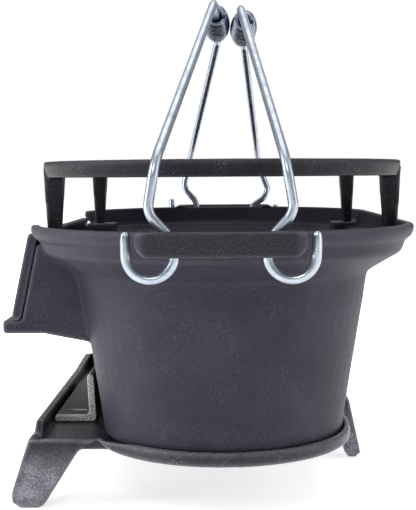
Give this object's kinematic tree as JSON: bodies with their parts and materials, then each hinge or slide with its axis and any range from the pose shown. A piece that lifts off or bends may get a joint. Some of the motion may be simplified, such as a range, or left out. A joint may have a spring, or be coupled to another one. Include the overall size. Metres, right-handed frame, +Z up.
{
  "type": "oblong charcoal grill",
  "caption": "Oblong cast iron charcoal grill: fire bowl on a three-legged base, raised cooking grate, tip-out fire door, sliding draft door and two wire bails with coil grips.",
  "frame": {"origin": "centre of the object's bounding box in plan, on the ground plane under the feet", "axes": "+Z up; +Y along the long axis from one loop handle to the other; -X is the front with the fire door and draft door"},
  "size_m": [0.2572, 0.5, 0.3279],
  "materials": {
    "iron": "seasoned sand-cast iron, satin, fine grain",
    "iron_dark": "seasoned sand-cast iron, darker and glossier, coarse grain",
    "zinc": "zinc plated steel wire, bright drawn"
  },
  "bodies": {
    "base": {"base": "iron_dark"},
    "bowl": {"fire_bowl": "iron"},
    "fire_door": {"fire_door": "iron"},
    "draft_door": {"draft_door": "iron_dark"},
    "fire_grate": {"fire_grate": "iron_dark"},
    "cooking_grate": {"cooking_grate": "iron_dark"},
    "bail_left": {"bail_left": "zinc"},
    "bail_right": {"bail_right": "zinc"},
    "grip_left": {"grip_left": "zinc"},
    "grip_right": {"grip_right": "zinc"}
  },
  "joints": [
    {"name": "bowl_lift", "type": "slide", "parent": "base", "child": "bowl", "axis": [0, 0, 1], "range_m": [0, 0.04]},
    {"name": "draft_door_slide", "type": "slide", "parent": "base", "child": "draft_door", "axis": [0, 1, 0], "range_m": [-0.006, 0.064]},
    {"name": "fire_door_hinge", "type": "hinge", "parent": "bowl", "child": "fire_door", "pos_m": [-0.11985, 0, 0.1226], "axis": [0, -1, 0], "range_deg": [0, 100]},
    {"name": "fire_grate_lift", "type": "slide", "parent": "bowl", "child": "fire_grate", "axis": [0, 0, 1], "range_m": [0, 0.06]},
    {"name": "cooking_grate_lift", "type": "slide", "parent": "bowl", "child": "cooking_grate", "axis": [0, 0, 1], "range_m": [0, 0.006]},
    {"name": "bail_left_hinge", "type": "hinge", "parent": "bowl", "child": "bail_left", "pos_m": [-0.03005, 0, 0.1745], "axis": [0, -1, 0], "range_deg": [0, 100]},
    {"name": "bail_right_hinge", "type": "hinge", "parent": "bowl", "child": "bail_right", "pos_m": [0.04815, 0, 0.1745], "axis": [0, 1, 0], "range_deg": [0, 100]},
    {"name": "grip_left_spin", "type": "hinge", "parent": "bail_left", "child": "grip_left", "pos_m": [0.00545, 0, 0.3183], "axis": [0, 1, 0], "continuous": true},
    {"name": "grip_right_spin", "type": "hinge", "parent": "bail_right", "child": "grip_right", "pos_m": [0.02485, 0, 0.3147], "axis": [0, 1, 0], "continuous": true}
  ]
}
